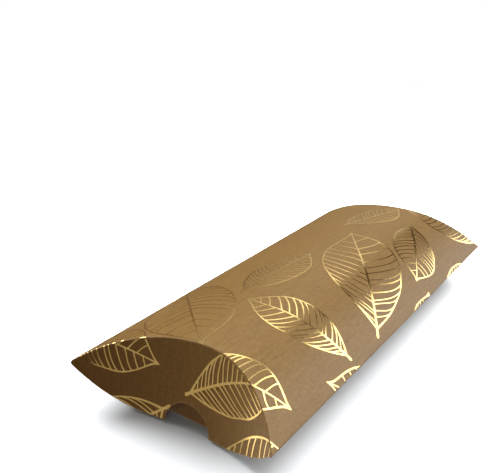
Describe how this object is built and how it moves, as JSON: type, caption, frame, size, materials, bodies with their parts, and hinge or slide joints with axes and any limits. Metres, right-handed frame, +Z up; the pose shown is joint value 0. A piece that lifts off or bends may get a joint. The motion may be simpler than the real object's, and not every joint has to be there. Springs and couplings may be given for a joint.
{
  "type": "pillow box",
  "caption": "Pillow-shaped gift box of folded kraft card with curved end creases, tuck-in end flaps, thumb notches and stamped gold leaf outlines.",
  "frame": {"origin": "middle of the strip the box rests on, at the bottom of the box", "axes": "+Z up, Y along the length with the front end at -Y, +X to the right seen from the front end"},
  "size_m": [0.0809, 0.1788, 0.0312],
  "materials": {
    "kraft_card": "matte",
    "adhesive": "satin",
    "gold_foil": "gloss"
  },
  "bodies": {
    "sleeve": {"top_panel": "kraft_card", "bottom_panel": "kraft_card", "right_side_fold": "kraft_card", "glue_tab_fold": "kraft_card", "glue_tab": "kraft_card", "glue_line": "adhesive"},
    "front_outer": {"front_outer_flap": "kraft_card", "front_outer_crease": "kraft_card"},
    "front_inner": {"front_inner_flap": "kraft_card", "front_inner_crease": "kraft_card"},
    "rear_outer": {"rear_outer_flap": "kraft_card", "rear_outer_crease": "kraft_card"},
    "rear_inner": {"rear_inner_flap": "kraft_card", "rear_inner_crease": "kraft_card"}
  },
  "joints": [
    {"name": "front_outer_hinge", "type": "hinge", "parent": "sleeve", "child": "front_outer", "pos_m": [0, -0.076, 0.0312], "axis": [-1, 0, 0], "range_deg": [0, 81]},
    {"name": "front_inner_hinge", "type": "hinge", "parent": "sleeve", "child": "front_inner", "pos_m": [0, -0.0764, 0], "axis": [1, 0, 0], "range_deg": [0, 68.85]},
    {"name": "rear_outer_hinge", "type": "hinge", "parent": "sleeve", "child": "rear_outer", "pos_m": [0, 0.076, 0.0312], "axis": [1, 0, 0], "range_deg": [0, 81]},
    {"name": "rear_inner_hinge", "type": "hinge", "parent": "sleeve", "child": "rear_inner", "pos_m": [0, 0.0764, 0], "axis": [-1, 0, 0], "range_deg": [0, 68.85]}
  ],
  "couplings": [
    {"joint": "front_inner_hinge", "follows": "front_outer_hinge", "ratio": 0.85},
    {"joint": "rear_inner_hinge", "follows": "rear_outer_hinge", "ratio": 0.85}
  ]
}
